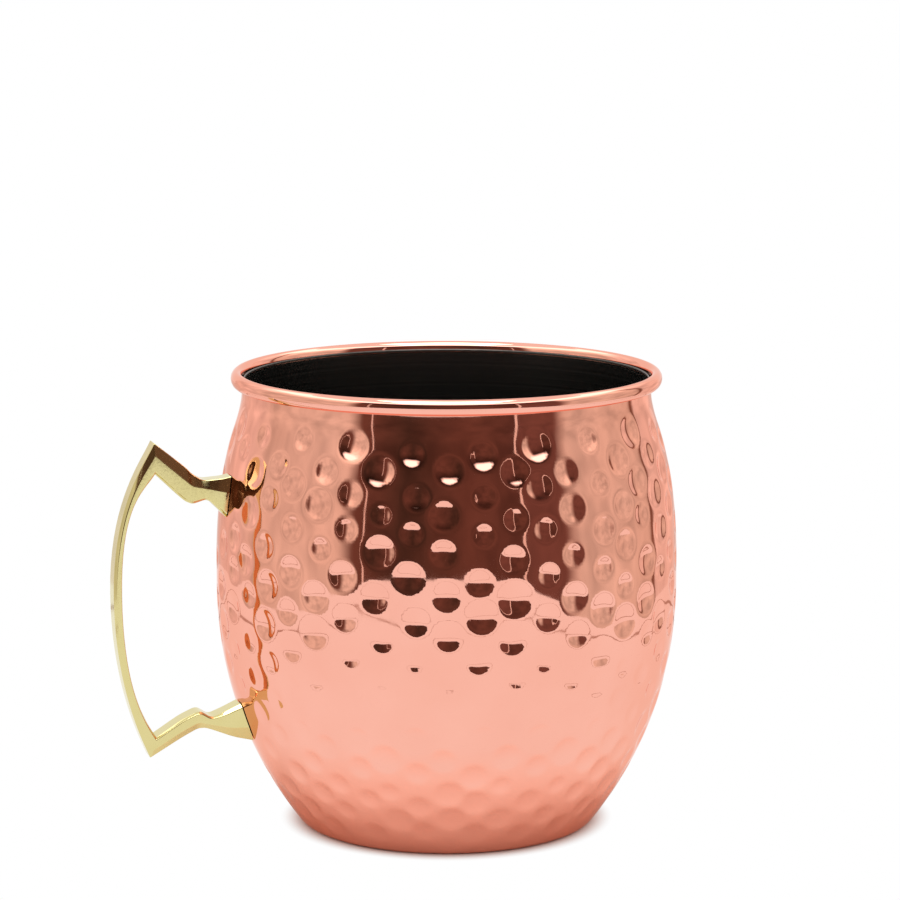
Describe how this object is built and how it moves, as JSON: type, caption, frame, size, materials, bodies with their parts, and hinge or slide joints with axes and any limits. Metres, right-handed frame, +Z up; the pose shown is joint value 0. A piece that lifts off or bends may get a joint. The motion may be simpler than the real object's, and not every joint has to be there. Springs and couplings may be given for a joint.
{
  "type": "ice bucket",
  "caption": "Barrel-shaped hammered copper ice bucket with a rolled rim, a smooth steel liner and an angular brass mug handle.",
  "frame": {"origin": "centre of the flat underside of the base plate, on the surface that the bucket stands on", "axes": "+Z up along the barrel's axis, the handle points along -X, and +Y completes the right-handed set"},
  "size_m": [0.2662, 0.2148, 0.2131],
  "materials": {
    "copper_plate": "polished",
    "stainless_steel": "satin",
    "silver_solder": "satin",
    "cast_brass": "polished",
    "zinc_plated_steel": "satin"
  },
  "bodies": {
    "root": {"outer_shell": "copper_plate", "base_plate": "copper_plate", "inner_liner": "stainless_steel", "rim_seam": "silver_solder", "handle": "cast_brass", "upper_handle_screw": "zinc_plated_steel", "lower_handle_screw": "zinc_plated_steel", "upper_handle_washer": "zinc_plated_steel", "lower_handle_washer": "zinc_plated_steel"}
  },
  "joints": []
}
